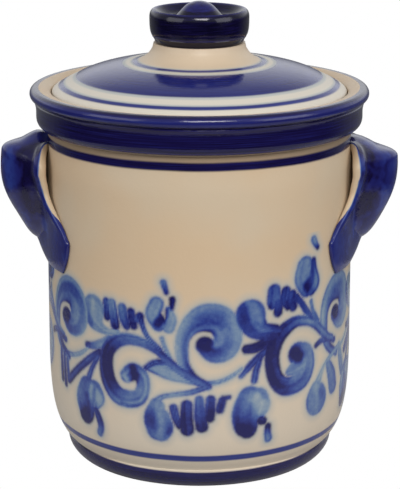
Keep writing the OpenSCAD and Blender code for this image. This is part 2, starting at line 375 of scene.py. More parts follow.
def scroll(b, ds, dz):
    """A big curled scroll with its thin tail."""
    b.stroke(moved([(3, 72.5, 2.6, 0.5), (11, 73, 2.4, 0.3), (19, 76, 2.2, 0.22), (25.5, 80.5, 1.4, 0.15)], ds, dz))
    b.stroke(moved([(5, 70.5, 4.5, 0.6), (-3.5, 75.5, 5.5, 0.75), (-8.8, 83, 6.2, 0.6), (-10.4, 91.5, 7, 0.5),
                    (-9.6, 101, 8, 0.5), (-4.4, 109, 11.5, 0.55), (4, 113, 16.5, 0.62), (12.5, 111, 17.5, 0.6),
                    (17, 103, 17, 0.48), (15.5, 95, 16, 0.55), (9, 92, 13, 0.75), (3.3, 96, 10.5, 0.95)],
                   ds, dz), side=0.17, streaks=0.2)
    b.tint(moved([(15, 104, 5, 0.4), (13, 98, 5, 0.38)], ds, dz), 4, 0.8)
    b.tint(moved([(8, 100.5, 2.5, 0.25), (9.5, 97, 2, 0.35)], ds, dz), 2, 0.8)
    b.tint(moved([(2, 111, 7, 0.74), (12, 114, 6, 0.7)], ds, dz), 4, 0.6)
    b.tint(moved([(2.6, 97.2, 7.6, 1.05), (3.4, 95.8, 7.6, 1.05)], ds, dz), 1.6)
    b.tint(moved([(20, 91, 4, 0.35), (23.5, 98, 2.5, 0.42)], ds, dz), 2.5, 0.7)


def spiral_left(b, ds, dz):
    """A wound spiral that grows from the vine towards the left, with the leaves at its back."""
    b.stroke(moved([(-75.5, 88, 3.5, 0.9), (-70, 88.6, 4.2, 0.6), (-63, 91.2, 5, 0.4), (-57, 95, 5, 0.5)], ds, dz))
    b.stroke(moved([(-65, 85.3, 4.5, 0.9), (-73, 79.7, 4.6, 0.75), (-80, 74, 4.4, 0.8)], ds, dz))
    b.stroke(moved([(-66.5, 82, 3, 0.75), (-71, 75, 3, 0.7), (-74.5, 67.5, 3.6, 0.65)], ds, dz))
    b.stroke(moved([(-19.5, 87, 3.5, 0.75), (-27, 93, 5, 0.65), (-36, 96.4, 5.6, 0.5), (-45, 97, 7, 0.55),
                    (-53, 94, 8.6, 0.8), (-59, 87, 9.6, 1.0), (-60, 77.5, 10, 1.05), (-57.7, 68, 10.5, 1.0),
                    (-52, 61, 11, 0.7), (-44, 59.3, 10.6, 0.5), (-37.3, 61.3, 9.2, 0.45), (-34.3, 67.5, 8, 0.42),
                    (-35.4, 74.5, 9, 0.5), (-40.5, 77, 10.5, 0.75), (-45, 74.4, 8.6, 0.5)], ds, dz),
             side=-0.12, streaks=0.16)
    b.tint(moved([(-41.5, 66, 5, 0.38), (-36.5, 66, 4, 0.35)], ds, dz), 3.5, 0.8)
    b.tint(moved([(-52, 69, 3, 0.85), (-46, 64, 2, 0.62)], ds, dz), 2, 0.7)
    b.tint(moved([(-46.5, 73, 2.5, 0.15), (-44.5, 70.5, 2, 0.2)], ds, dz), 1.5, 0.9)
    b.tint(moved([(-49, 56.3, 2, 0.75), (-42, 55.3, 2, 0.85), (-35, 57.5, 2, 0.8), (-31.5, 62, 1.6, 0.75)],
                 ds, dz), 1.5, 0.8)
    b.tint(moved([(-41, 79.5, 4.5, 1.05), (-39.3, 74, 5, 1.08), (-40.3, 69, 3.5, 0.95)], ds, dz), 1.5)


def long_stem(b, ds, dz):
    b.stroke(moved([(-73, 79.7, 4.6, 0.75), (-84, 71, 4.6, 0.85), (-95, 61.3, 5, 0.9)], ds, dz))


def spiral_right(b, ds, dz):
    """A rounder wound spiral between two big scrolls, with dark leaves at its back."""
    b.stroke(moved([(28.5, 92.5, 5.4, 1.0), (34, 92.7, 6, 0.95), (41, 95.2, 6.6, 0.95), (47, 98.5, 7, 1.0)], ds, dz))
    b.stroke(moved([(25, 75.8, 2.4, 0.6), (31, 82, 4, 0.85), (38, 88, 4.6, 0.85), (42, 91, 4, 0.9)], ds, dz))
    b.stroke(moved([(33.5, 72.3, 3.6, 0.65), (34.8, 79, 3.8, 0.75), (37.7, 87, 3, 0.8)], ds, dz))
    b.stroke(moved([(79.8, 86.4, 2.8, 0.95), (85, 88.3, 3.2, 0.7), (92, 87.6, 3.6, 0.75), (100, 85.4, 3.5, 0.75)],
                   ds, dz))
    b.stroke(moved([(97, 87.2, 4.4, 0.72), (92, 89.3, 5, 0.65), (86, 94.3, 5.6, 0.55),
                    (80, 99.5, 5.6, 0.65), (73, 103.4, 5.6, 0.55), (63, 105, 6.6, 0.75), (55, 102, 8.6, 0.9),
                    (49, 96.5, 9.6, 1.0), (45.6, 88.5, 9.6, 1.05), (45.5, 80, 9.6, 1.05), (48, 71.5, 10, 1.05),
                    (53.5, 66, 11, 0.9), (61, 65.5, 11.6, 0.62), (68.4, 68.4, 12, 0.52), (72, 76, 12.4, 0.45),
                    (69.8, 83, 13, 0.5), (64, 84.6, 14, 0.7)], ds, dz), side=-0.13, streaks=0.17)
    b.stroke(moved([(57.5, 74.5, 4.5, 0.5), (63, 76, 10, 0.4), (66, 77, 10, 0.38)], ds, dz), rim=0)
    b.tint(moved([(60, 71.5, 4, 0.42), (68, 74, 5, 0.35), (71, 80, 3, 0.36)], ds, dz), 3.5, 0.8)
    b.tint(moved([(48.5, 78, 2, 0.75), (51, 72.5, 2, 0.7), (55, 70.5, 2, 0.55)], ds, dz), 1.5, 0.7)
    b.tint(moved([(53, 61.8, 2, 1.0), (61, 60.8, 2, 0.85), (69, 62, 2, 0.85), (75.5, 68, 1.6, 0.8),
                  (77.8, 76, 1.6, 0.75), (76.5, 84, 1.4, 0.7)], ds, dz), 1.5, 0.75)
    b.tint(moved([(62, 85.5, 8.5, 1.05), (64.5, 82.5, 8, 1.08)], ds, dz), 1.8)


def comma_pale(b, ds, dz):
    """A pale comma with a dark back, left of the wound spiral."""
    b.stroke(moved([(-70, 111.5, 17.5, 0.3), (-69.5, 106, 13, 0.33), (-64.5, 101.2, 6.5, 0.33),
                    (-58, 99.4, 3.6, 0.22), (-51, 100.2, 2.4, 0.2)], ds, dz), streaks=0.1)
    b.tint(moved([(-77.5, 114, 4, 0.72), (-76, 107, 5, 0.78), (-71.5, 101.5, 3, 0.72)], ds, dz), 2, 0.9)
    b.tint(moved([(-72, 119.6, 1.5, 0.5), (-65.5, 117, 1.5, 0.5), (-62, 111, 1.5, 0.5)], ds, dz), 1.5, 0.7)


def comma_dark(b, ds, dz):
    """A deep comma over the right spiral, light on its right side."""
    b.stroke(moved([(31, 113.4, 18.4, 0.55), (33, 107.4, 15.5, 0.6), (38.5, 102.6, 11, 0.6), (47, 101, 9, 0.85)],
                   ds, dz), streaks=0.14)
    b.tint(moved([(26.5, 117, 7, 0.85), (27, 110, 7, 0.92), (30, 104.6, 5, 0.8)], ds, dz), 3.5, 0.95)
    b.tint(moved([(33, 118.5, 4, 0.38), (36.3, 112, 4, 0.36), (37.5, 107, 2, 0.35)], ds, dz), 2.5, 0.8)
    b.tint(moved([(38.4, 118, 1.5, 0.7), (39.8, 113, 1.2, 0.75)], ds, dz), 1.2, 0.8)
    b.tint(moved([(33, 100.2, 1.6, 0.8), (38, 98.4, 1.8, 0.95), (46, 98, 2, 0.95)], ds, dz), 1.2, 0.9)


def upper_comb_left(b, ds, dz):
    b.stroke(moved([(-59.4, 118, 4.6, 0.7), (-58.6, 109, 5, 0.85)], ds, dz))
    b.stroke(moved([(-55.3, 117.6, 5.4, 0.35), (-54, 110, 6, 0.6), (-53, 104.6, 6, 0.85)], ds, dz), side=-0.1)
    b.stroke(moved([(-48, 115.5, 5.8, 0.5), (-47, 110, 6, 0.65), (-45, 105.4, 5.2, 0.85)], ds, dz))
    b.stroke(moved([(-42, 114, 4.8, 0.75), (-41.3, 110, 5, 0.78), (-40.2, 105.8, 4.6, 0.85)], ds, dz))
    b.stroke(moved([(-36.2, 112, 4.8, 0.85), (-37.4, 109.8, 4, 0.6)], ds, dz))
    b.stroke(moved([(-35.8, 111, 3.6, 0.8), (-34, 105, 2.7, 0.65), (-31, 99.4, 2.7, 0.55), (-24, 92.5, 3, 0.75)],
                   ds, dz))


def upper_comb_right(b, ds, dz):
    b.stroke(moved([(46.4, 126.4, 8.2, 0.72), (46, 121, 8.6, 0.7), (45, 118, 5.6, 0.88)], ds, dz))
    b.stroke(moved([(49.6, 118, 6, 0.75), (49, 113, 5.6, 0.95)], ds, dz))
    b.stroke(moved([(54.6, 124.6, 6.8, 0.82), (54, 120, 7, 0.75), (56.4, 116, 5.6, 0.9)], ds, dz))
    b.stroke(moved([(59.2, 121.6, 7, 0.82), (59, 117.4, 7.2, 0.92), (60, 115, 6, 0.9)], ds, dz))
    b.stroke(moved([(62, 120.3, 4.8, 0.85), (66.4, 116, 3.8, 0.7), (70.4, 110.6, 4, 0.65), (75.5, 105.3, 3.6, 0.6)],
                   ds, dz))
    b.stroke(moved([(74.8, 115.5, 2.2, 0.4), (76, 110.5, 2.2, 0.4), (78.3, 106, 3, 0.5), (81.3, 101.6, 3, 0.6)],
                   ds, dz))


def tulip_left(b, ds, dz):
    b.stroke(moved([(-18.4, 117.6, 3.4, 0.3), (-17, 111.5, 6.4, 0.25), (-18.4, 107, 7.5, 0.28)], ds, dz), streaks=0.08)
    b.stroke(moved([(-25.6, 120.6, 8.6, 0.32), (-27.8, 114.5, 9.4, 0.28), (-24.4, 108.8, 9.6, 0.4)], ds, dz),
             streaks=0.1, rim=0.2)
    b.tint(moved([(-19.6, 117.6, 3, 0.85), (-22, 112.6, 5.4, 1.0), (-25, 108.4, 5.6, 1.0)], ds, dz), 1.5, 0.95)
    b.stroke(moved([(-16, 124, 3.4, 0.95), (-16.4, 118.4, 2.2, 0.85)], ds, dz))
    b.stroke(moved([(-21.5, 134, 3.4, 0.45), (-19.6, 128, 2.6, 0.8)], ds, dz))


def tulip_right(b, ds, dz):
    b.stroke(moved([(69.6, 137.4, 13.4, 0.33), (67.6, 130.6, 12.6, 0.38), (70.5, 124.5, 11, 0.6)], ds, dz),
             streaks=0.1, rim=0.15)
    b.stroke(moved([(76.6, 140.6, 3.6, 0.85), (77, 134, 5.4, 0.6), (77.4, 127, 9.4, 0.5), (74.5, 123.6, 9, 0.75)],
                   ds, dz), streaks=0.15)
    b.tint(moved([(76, 139, 2, 0.9), (75, 131, 4, 0.85), (71.4, 125.5, 7, 1.05)], ds, dz), 2, 0.9)
    b.stroke(moved([(76.6, 153.4, 4.4, 0.4), (78.2, 150.6, 3.8, 0.5), (80.2, 148, 2.8, 0.95)], ds, dz))


def leaf(b, ds, dz):
    """The pale leaf on the main stem, with the stem itself and its thin shoot."""
    b.stroke(moved([(-22.4, 99.6, 2.2, 0.3), (-20.5, 94, 2, 0.28), (-17.5, 87, 2.6, 0.35)], ds, dz))
    b.stroke(moved([(-30, 80.6, 4, 0.45), (-24, 80.6, 8, 0.3), (-17, 78.4, 8.6, 0.28), (-10, 76, 6, 0.28),
                    (-3.5, 73.5, 3.4, 0.4)], ds, dz), streaks=0.1)
    b.tint(moved([(-31.5, 79, 1.8, 0.8), (-26, 77, 1.6, 0.72), (-20, 74.6, 1.2, 0.5)], ds, dz), 1.2, 0.9)
    b.stroke(moved([(-32.6, 80.4, 2.8, 0.85), (-27.5, 84, 3.2, 0.75), (-20.5, 85.4, 3.6, 0.8)], ds, dz))
    b.stroke(moved([(-25, 91.6, 3.6, 0.8), (-19, 86, 5, 0.75), (-12.5, 80.6, 4.6, 0.65), (-6, 76.8, 5, 0.75),
                    (3, 71.8, 4.6, 0.7)], ds, dz), side=-0.1)


def bud_pale(b, ds, dz):
    """The hanging bud on its stem, left of the lower comb."""
    b.stroke(moved([(4, 70, 3, 0.65), (-5, 66.8, 2.8, 0.45), (-15, 65, 2.3, 0.35), (-22, 63.3, 2.4, 0.4),
                    (-27, 59.6, 4, 0.4)], ds, dz))
    b.stroke(moved([(-26, 56.6, 9.6, 0.42), (-27.6, 49, 12.6, 0.7), (-25.6, 42, 14, 0.55)], ds, dz), streaks=0.16)
    b.stroke(moved([(-22.4, 51, 8, 0.45), (-21.6, 44, 11, 0.55), (-23.6, 40.4, 11.4, 0.5)], ds, dz), streaks=0.16)
    b.tint(moved([(-29.5, 53, 3, 0.75), (-30, 47, 5, 0.95), (-27.6, 40.4, 3, 0.7)], ds, dz), 2.5, 0.85)
    b.tint(moved([(-18.3, 46, 2.5, 0.75), (-18.3, 41.5, 3.5, 0.9), (-21.5, 38, 1.6, 0.7)], ds, dz), 1.8, 0.85)
    b.tint(moved([(-24.6, 55, 2, 0.32), (-23.6, 46, 3, 0.38), (-23.3, 39, 2, 0.4)], ds, dz), 1.8, 0.85)


def lower_comb(b, ds, dz):
    b.stroke(moved([(-15.6, 56.6, 4.6, 0.72), (-14, 50, 4.8, 0.78), (-11.6, 45.4, 4.6, 0.9)], ds, dz))
    b.stroke(moved([(-7.5, 58.4, 6.6, 0.75), (-7.8, 50, 7.6, 0.92), (-7.4, 43, 8.2, 1.0)], ds, dz))
    b.stroke(moved([(0, 62.3, 4.6, 0.6), (0.4, 53, 6.8, 0.75), (1.5, 45, 7.4, 0.95)], ds, dz))
    b.stroke(moved([(6.8, 62, 5.4, 0.7), (6.5, 55, 6, 0.85), (6.2, 50.6, 5.6, 1.0)], ds, dz))
    b.stroke(moved([(13.8, 61.4, 4.4, 0.85), (12.2, 55.8, 5, 0.92)], ds, dz))
    b.stroke(moved([(14.2, 62.7, 2.8, 0.85), (18, 63.2, 2, 0.85)], ds, dz))


def bud_dark(b, ds, dz):
    """The heavy bud whose tip is almost black, under the dark leaves."""
    b.stroke(moved([(36, 60.6, 13.5, 0.32), (38.6, 56, 10.4, 0.2), (38.2, 50.6, 5.6, 0.28)], ds, dz), streaks=0.08)
    b.stroke(moved([(31, 61, 15.6, 0.38), (28.4, 53, 16.8, 0.5), (28.7, 45.6, 15.6, 0.85), (29.8, 41.8, 12, 1.1)],
                   ds, dz), streaks=0.28)
    b.tint(moved([(24, 62.6, 2.4, 0.55), (30.5, 67.4, 2.6, 0.62), (38, 65, 2.4, 0.6), (42.3, 59, 1.4, 0.45)],
                 ds, dz), 1.8, 0.85)
    b.tint(moved([(31.5, 56, 2, 0.8), (31, 48, 4, 0.9), (30.5, 42.4, 8, 1.08)], ds, dz), 3.2, 0.85)
    b.tint(moved([(39, 57.5, 4, 0.1), (37.6, 52.5, 3, 0.12)], ds, dz), 2, 0.9)
    b.stroke(moved([(38.6, 46.5, 5.4, 1.0), (40, 45.8, 4.6, 1.0)], ds, dz))
    b.stroke(moved([(43.5, 42, 3.8, 0.9), (43.5, 37.6, 4.4, 0.55), (44.4, 33.6, 5, 0.4)], ds, dz), rim=0.25)


def bud_left(b, ds, dz):
    """The heavy bud under the left spiral, with its comma."""
    b.stroke(moved([(-70, 60, 12.6, 0.4), (-66.3, 55.6, 8.4, 0.28), (-68.4, 50.4, 4, 0.4)], ds, dz), streaks=0.1)
    b.stroke(moved([(-76, 60.2, 14.6, 0.45), (-78.6, 52.6, 16.6, 0.5), (-78.3, 45.4, 14, 0.85),
                    (-79, 42, 11, 1.1)], ds, dz), streaks=0.26)
    b.tint(moved([(-83, 62, 2.4, 0.6), (-76, 66, 2.6, 0.75), (-69.6, 64.6, 2.4, 0.7), (-64.4, 60, 1.4, 0.5)],
                 ds, dz), 1.8, 0.85)
    b.tint(moved([(-77, 56, 4, 0.85), (-75.6, 48, 5, 0.95), (-78.6, 42, 7, 1.15)], ds, dz), 2.4, 0.95)
    b.tint(moved([(-67.6, 59, 3, 0.22), (-67.4, 54, 3, 0.2)], ds, dz), 2, 0.85)
    b.stroke(moved([(-69.3, 47.6, 4, 0.9), (-66.9, 41.4, 4.8, 0.85), (-66.4, 36.6, 4.4, 0.6), (-68.2, 32.4, 4, 0.5)],
                   ds, dz))


def far_side(b, ds, dz):
    """What hangs under the second big scroll."""
    b.stroke(moved([(81.6, 61, 6.4, 0.2), (86.6, 69.4, 2.6, 0.15), (94, 75, 2.6, 0.25), (105, 79.3, 2.6, 0.3)],
                   ds, dz))
    b.stroke(moved([(81, 58, 11, 0.35), (82, 52, 19, 0.5), (82, 50, 17, 0.5)], ds, dz), streaks=0.15)
    b.tint(moved([(79, 50, 6, 0.38), (80, 45, 5, 0.4)], ds, dz), 3, 0.8)
    b.tint(moved([(86, 56, 4, 0.7), (89.6, 51, 3, 0.72)], ds, dz), 3, 0.8)
    b.stroke(moved([(93.4, 71.4, 5.4, 0.45), (97.6, 63.6, 9, 0.5), (100, 55.4, 9.4, 0.55)], ds, dz))
    b.stroke(moved([(108, 80, 4, 0.3), (111, 70, 6, 0.4), (114, 62, 6, 0.4)], ds, dz))


def far_comb(b, ds, dz):
    for s, top, low in ((94, 79.5, 60), (98.2, 77, 57.5), (102.2, 74.5, 61)):
        b.stroke(moved([(s, top, 2.6, 0.7), (s + 1.2, low, 3.4, 0.9)], ds, dz))


MOTIFS = (tulip_left, tulip_right, scroll, spiral_left, long_stem, spiral_right, leaf, comma_pale, comma_dark,
          upper_comb_left, upper_comb_right, bud_pale, lower_comb, bud_dark, bud_left, far_side, far_comb)
REPEATS = 3


def paint_vine(b):
    """The vine goes three times round the wall, painted a little differently each time."""
    last = REPEATS - 1
    for k in range(REPEATS):
        shift = k * GIRTH / REPEATS
        for motif in MOTIFS:
            ds, dz = (0, 0) if k == 0 else rng.uniform(-0.9, 0.9, 2)
            if motif is long_stem and k > 0 or motif is far_side and k == last or motif is far_comb and k < last:
                continue
            motif(b, shift + ds, dz)
            if motif is scroll:
                scroll(b, shift + 98 + ds, 6 + dz)


# The pot
COARSE = 152
FINE = 608
BAND_LOW = 27.0
BAND_HIGH = 158.0


def pot_rows():
    """The pot's outline, which rows lie in the fine painted band, and where each part starts."""
    parts = [
        foot_outline(),
        wall_outline(FOOT_H + 0.6, BAND_LOW, 2.2),
        wall_outline(BAND_LOW + 0.6, BAND_HIGH, 1.1),
        wall_outline(BAND_HIGH + 0.8, NECK_Z, 3.0),
        collar_outline(),
        seat_outline(),
        inside_outline(),
    ]
    rows = np.concatenate(parts)
    ends = np.cumsum([len(p) for p in parts])
    return rows, ends


def pot_chart(rows, ends):
    """Map positions: the painted band in two long strips, and every other part in a strip of its own."""
    strips = ((0.0, 0.022), (0.024, 0.055), (0.06, 0.43), (0.802, 0.905), (0.91, 0.975), (0.977, 0.987),
              (0.989, 0.999))
    starts = np.concatenate([[0], ends[:-1]])
    length = np.concatenate([[0], np.cumsum(np.hypot(*np.diff(rows, axis=0).T))])

    def place(i, row, turn, left):
        part = int(np.searchsorted(ends, i, side="right"))
        low, high = strips[part]
        first = starts[part]
        last = ends[part] if ends[part] < len(rows) else len(rows) - 1
        v = (length[row] - length[first]) / (length[last] - length[first])
        if part != 2:
            return 0.002 + 0.996 * turn, low + (high - low) * v
        half = int(left >= 0.5)
        return 0.002 + 0.996 * (2 * turn - half), low + (high - low) * v + 0.372 * half

    return place


def make_pot():
    rows, ends = pot_rows()
    counts = [FINE if ends[1] <= i < ends[2] else COARSE for i in range(len(rows))]
    pot = turned("pot_wall", rows, counts, pot_chart(rows, ends))
    co = np.empty(len(pot.data.vertices) * 3, np.float32)
    pot.data.vertices.foreach_get("co", co)
    co = co.reshape(-1, 3) / MM
    s = np.arctan2(co[:, 0], -co[:, 1]) * WALL_R
    r = np.hypot(co[:, 0], co[:, 1])
    outer = np.nonzero((co[:, 2] > BAND_LOW) & (co[:, 2] < BAND_HIGH + 0.5) & (r > WALL_R - 7))[0]
    b = Brushwork(s[outer], co[outer, 2])
    paint_vine(b)
    paint = np.zeros((len(co), 4), np.float32)
    paint[:, 0] = 30
    paint[outer, 0] = b.edge
    paint[outer, 1] = b.depth
    store(pot, "paint", paint)
    return pot


def store(obj, name, values):
    layer = obj.data.attributes.new(name, "FLOAT_COLOR", "POINT")
    layer.data.foreach_set("color", np.ascontiguousarray(values, np.float32).ravel())


# Handles, placed by a path parameter u: 0 at the top joint, 1 at the knuckle, 2 where the ridge
# comes back to the wall, 3 at the low end. Points are [stand-off, height].
REACH = 28.8
TOP_Z = 206.0
LOW_Z = 127.5
KNUCKLE_Z = 186.0
RETURN_Z = 136.0
SADDLE = (16.0, 197.9)
STRAP_HALF = 31.0
FLARE_HALF = 57.0
ARCH_HALF = 29.0
STRAP_T = 8.3
EDGE_OUT = 9.0
EDGE_T = 5.5
RIB_H = 1.4
LUTE_GAP = 0.1
ROOT_Z = 203.4
ROOT_HALF = 15.0


def at(a, b, c, d, t):
    v = 1 - t
    a, b, c, d = (np.array(p, float) for p in (a, b, c, d))
    return v**3 * a + 3 * v * v * t * b + 3 * v * t * t * c + t**3 * d


def mix(a, b, t):
    return a + (b - a) * t


def ridge_out(u):
    if u < 0.5:
        return at((0, ROOT_Z), (5, ROOT_Z + 0.2), (9, SADDLE[1] + 4.4), SADDLE, 2 * u)
    knuckle = (REACH, KNUCKLE_Z + 5)
    if u < 1:
        return at(SADDLE, (SADDLE[0] + 4.5, SADDLE[1] - 2.6), (REACH - 0.4, KNUCKLE_Z + 9.6), knuckle, 2 * u - 1)
    if u < 2:
        return at(knuckle, (REACH, KNUCKLE_Z - 11), (21, RETURN_Z + 10), (7, RETURN_Z + 3), u - 1)
    return at((7, RETURN_Z + 3), (5.4, RETURN_Z), (4, LOW_Z + 2), (1, LOW_Z), u - 2)


def edge_path_out(u):
    knee = (EDGE_OUT + 0.2, KNUCKLE_Z - 0.5)
    if u < 1:
        return at((0, ROOT_Z - 1.5), (4, ROOT_Z), (EDGE_OUT + 1, KNUCKLE_Z + 12), knee, u)
    if u < 2:
        return at(knee, (EDGE_OUT - 1.8, KNUCKLE_Z - 8), (3, RETURN_Z + 27), (2.6, RETURN_Z + 14), u - 1)
    return at((2.6, RETURN_Z + 14), (2.5, RETURN_Z + 8), (2.4, LOW_Z + 4), (1, LOW_Z), u - 2)


def ridge_in(u):
    inner = REACH - STRAP_T
    if u < 1:
        return at((0, ROOT_Z - STRAP_T), (inner - 10, ROOT_Z - 10), (inner - 1, KNUCKLE_Z + 1),
                  (inner, KNUCKLE_Z - 6), u)
    if u < 2:
        return at((inner, KNUCKLE_Z - 6), (inner, KNUCKLE_Z - 17), (12, RETURN_Z + 20), (0, RETURN_Z + 10), u - 1)
    return np.array([0, mix(RETURN_Z + 10, LOW_Z, u - 2)])


def edge_path_in(u):
    inner = EDGE_OUT - EDGE_T
    knee = (inner + 0.2, KNUCKLE_Z - 2)
    if u < 1:
        return at((0, ROOT_Z - 7), (1, ROOT_Z - 6), (inner + 0.6, KNUCKLE_Z + 8), knee, u)
    if u < 2:
        return at(knee, (inner - 1.2, KNUCKLE_Z - 10), (0.3, RETURN_Z + 30), (0, RETURN_Z + 14), u - 1)
    return np.array([0, mix(RETURN_Z + 14, LOW_Z, u - 2)])


def half_width(u):
    if u < 2.15:
        strap = mix(ROOT_HALF, STRAP_HALF, ease(u / 0.9))
        return mix(strap, FLARE_HALF, ease((u - 1.35) / 0.8))
    return FLARE_HALF - 8 * ((u - 2.15) / 0.85) ** 2


def on_wall(p, across):
    r = wall_radius(p[1]) + max(p[0], LUTE_GAP)
    return (r * math.cos(across / WALL_R), r * math.sin(across / WALL_R), p[1])


def rib(u, across, half):
    fade = ease(u / 0.6) * (1 - ease((u - 1.5) / 0.5))
    return RIB_H * fade * math.exp(-(((half - 3.2 - abs(across)) / 2.4) ** 2))


def outer_point(u, s, lift, tuck):
    """lift raises the ridge and tuck bends its lower slope like an S: no two pulled handles are alike."""
    half = half_width(u)
    across = half * s
    f = ease(abs(across) / min(ARCH_HALF, half - 1.5)) ** mix(1.5, 1.0, ease((u - 0.5) / 0.5))
    raised = lift * (1 - f) * mix(0.5, 1, ease(u / 0.3)) * (1 - ease((u - 0.85) / 0.7))
    v = min(max(u - 1, 0), 1)
    bend = tuck * (1 - f) * math.sin(2 * math.pi * v) * math.sin(math.pi * v)
    section = mix(ridge_out(u), edge_path_out(u), f) + np.array([rib(u, across, half) + bend, raised])
    return on_wall((min(section[0], REACH), section[1]), across)


def inner_point(u, s):
    half = half_width(u)
    across = (half - 0.8) * s
    f = ease(abs(across) / min(ARCH_HALF - 3, half - 4))
    return on_wall(mix(ridge_in(u), edge_path_in(u), f), across)


def edge_point(u, s, t):
    turn = math.pi * t
    bulge = 2 * math.sin(turn) * ease(u / 0.1)
    out = mix(edge_path_out(u), edge_path_in(u), (1 - math.cos(turn)) / 2)
    return on_wall(out, s * (half_width(u) + bulge * (1 - 0.7 * ease(u - 1.6))))


ACROSS = 48
ROUND = 8
ALONG = 108


def handle_section(u, lift, tuck):
    """Points of one section and, for each, how far it lies over the edge towards the inner face."""
    outer = [(outer_point(u, 2 * i / ACROSS - 1, lift, tuck), abs(2 * i / ACROSS - 1), 0)
             for i in range(ACROSS + 1)]
    right = [(edge_point(u, 1, k / ROUND), 1, k / ROUND) for k in range(1, ROUND)]
    inner = [(inner_point(u, 1 - 2 * i / ACROSS), abs(1 - 2 * i / ACROSS), 1) for i in range(ACROSS + 1)]
    left = [(edge_point(u, -1, 1 - k / ROUND), 1, 1 - k / ROUND) for k in range(1, ROUND)]
    return outer + right + inner + left


def make_handle(name, side, lift, tuck):
    """A pulled strap handle. side is 1 on the right and -1 on the left."""
    verts = []
    paint = []
    for k in range(ALONG + 1):
        u = 3 * k / ALONG
        half = half_width(u)
        for (x, y, z), s, over in handle_section(u, lift, tuck):
            verts.append((side * x * MM, y * MM, z * MM))
            paint.append((half * (1 - s), over, u / 3, half * s / 60))
    ring = 2 * (ACROSS + 1) + 2 * (ROUND - 1)
    faces = []
    for k in range(ALONG):
        for i in range(ring):
            j = (i + 1) % ring
            low = k * ring
            high = low + ring
            faces.append([low + i, low + j, high + j, high + i])
    faces.append(list(range(ring))[::-1])
    faces.append(list(range(ALONG * ring, (ALONG + 1) * ring)))
    if side < 0:
        faces = [f[::-1] for f in faces]
    handle = mesh_object(name, verts, faces)
    store(handle, "paint", paint)
    return handle


# Node helpers
class Graph:
    def __init__(self, name):
        self.material = bpy.data.materials.new(name)
        self.material.use_nodes = True
        self.tree = self.material.node_tree
        self.tree.nodes.clear()

    def add(self, kind, inputs=None, **settings):
        node = self.tree.nodes.new(kind)
        for key, value in settings.items():
            setattr(node, key, value)
        for key, value in (inputs or {}).items():
            self.feed(node.inputs[key], value)
        return node

    def feed(self, socket, value):
        if isinstance(value, bpy.types.NodeSocket):
            self.tree.links.new(value, socket)
        else:
            socket.default_value = value

    def math(self, operation, a, b=0.0, c=0.0, clamp=False):
        node = self.add("ShaderNodeMath", operation=operation, use_clamp=clamp)
        self.feed(node.inputs[0], a)
        self.feed(node.inputs[1], b)
        self.feed(node.inputs[2], c)
        return node.outputs[0]

    def step(self, value, low, high):
        """0 below low and 1 above high, smooth between; low may be above high."""
        flip = low > high
        if flip:
            low, high = high, low
        node = self.add("ShaderNodeMapRange", interpolation_type="SMOOTHSTEP")
        self.feed(node.inputs["Value"], value)
        node.inputs["From Min"].default_value = low
        node.inputs["From Max"].default_value = high
        node.inputs["To Min"].default_value = 1.0 if flip else 0.0
        node.inputs["To Max"].default_value = 0.0 if flip else 1.0
        return node.outputs["Result"]

    def between(self, value, low, high, soft):
        """1 from low to high with soft edges."""
        return self.math("MULTIPLY", self.step(value, low - soft, low + soft), self.step(value, high + soft, high - soft))

    def noise(self, vector, scale, detail=2.0, rough=0.5):
        node = self.add("ShaderNodeTexNoise", {"Vector": vector, "Scale": scale, "Detail": detail, "Roughness": rough})
        return node.outputs["Fac"]

    def mix(self, share, a, b):
        node = self.add("ShaderNodeMix", data_type="RGBA", clamp_factor=True)
        self.feed(node.inputs[0], share)
        self.feed(node.inputs[6], a)
        self.feed(node.inputs[7], b)
        return node.outputs[2]

    def ramp(self, value, stops):
        node = self.add("ShaderNodeValToRGB", {"Fac": value})
        ramp = node.color_ramp
        ramp.elements[0].position, ramp.elements[0].color = stops[0][0], stops[0][1]
        ramp.elements[1].position, ramp.elements[1].color = stops[-1][0], stops[-1][1]
        for position, colour in stops[1:-1]:
            ramp.elements.new(position).color = colour
        return node.outputs["Color"]

    def place(self):
        """Millimetre coordinates on the object, its distance from the axis, and its turn round the axis."""
        vector = self.add("ShaderNodeTexCoord").outputs["Object"]
        scaled = self.add("ShaderNodeVectorMath", operation="SCALE")
        self.feed(scaled.inputs[0], vector)
        scaled.inputs["Scale"].default_value = 1000.0
        position = scaled.outputs[0]
        parts = self.add("ShaderNodeSeparateXYZ", {"Vector": position})
        x, y, z = parts.outputs
        radius = self.math("SQRT", self.math("ADD", self.math("MULTIPLY", x, x), self.math("MULTIPLY", y, y)))
        turn = self.math("ARCTAN2", x, y)
        return position, radius, turn, z

    def join(self, x, y, z):
        return self.add("ShaderNodeCombineXYZ", {"X": x, "Y": y, "Z": z}).outputs[0]


def rgb(r, g, b):
    """A linear colour from 8-bit screen values."""
    def linear(c):
        c = c / 255
        return c / 12.92 if c <= 0.04045 else ((c + 0.055) / 1.055) ** 2.4
    return (linear(r), linear(g), linear(b), 1.0)


CLAY_WARM = rgb(201, 177, 147)
CLAY_COOL = rgb(199, 181, 156)
CLAY_PALE = rgb(205, 199, 187)
# Painted shadow colour for the neck strip under the collar's overhang.
NECK_PAINTED_SHADOW = rgb(132, 112, 90)
WASH = rgb(178, 174, 166)
BLEED = rgb(152, 164, 170)
CLAY_BARE = rgb(214, 196, 172)
COBALT_STOPS = (
    (0.0, rgb(158, 168, 170)),
    (0.25, rgb(112, 134, 162)),
    (0.45, rgb(72, 96, 152)),
    (0.62, rgb(44, 60, 134)),
    (0.78, rgb(30, 33, 100)),
    (0.9, rgb(20, 15, 62)),
    (1.0, rgb(7, 5, 28)),
)


